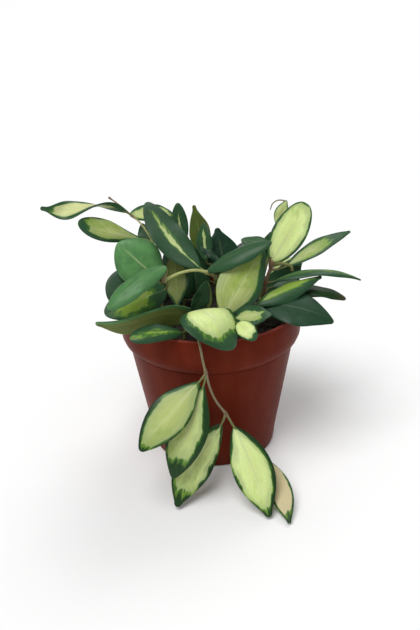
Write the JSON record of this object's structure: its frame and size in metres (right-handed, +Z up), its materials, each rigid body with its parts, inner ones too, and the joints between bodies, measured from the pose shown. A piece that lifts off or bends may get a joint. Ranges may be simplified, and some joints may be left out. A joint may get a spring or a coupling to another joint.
{
  "type": "potted hoya plant",
  "caption": "Trailing hoya with waxy cream-centred, dark-edged leaves in a round tapered nursery pot, a leafy stem hanging over the front rim.",
  "frame": {"origin": "centre of the pot's flat underside", "axes": "+Z up, -Y towards the front where the leafy stem hangs over the rim, +X to the right as seen from the front"},
  "size_m": [0.1999, 0.1921, 0.1733],
  "materials": {
    "pot": "satin",
    "potting_mix": "rough",
    "foliage": "satin"
  },
  "bodies": {
    "root": {"pot": "pot", "potting_mix": "potting_mix", "trailing_vine": "foliage", "crossing_vine": "foliage", "upper_left_vine": "foliage", "left_vine": "foliage", "low_left_vine": "foliage", "front_vine": "foliage", "right_tall_vine": "foliage", "right_low_vine": "foliage", "back_centre_vine": "foliage", "back_left_vine": "foliage", "back_right_vine": "foliage", "back_vine": "foliage"}
  },
  "joints": []
}
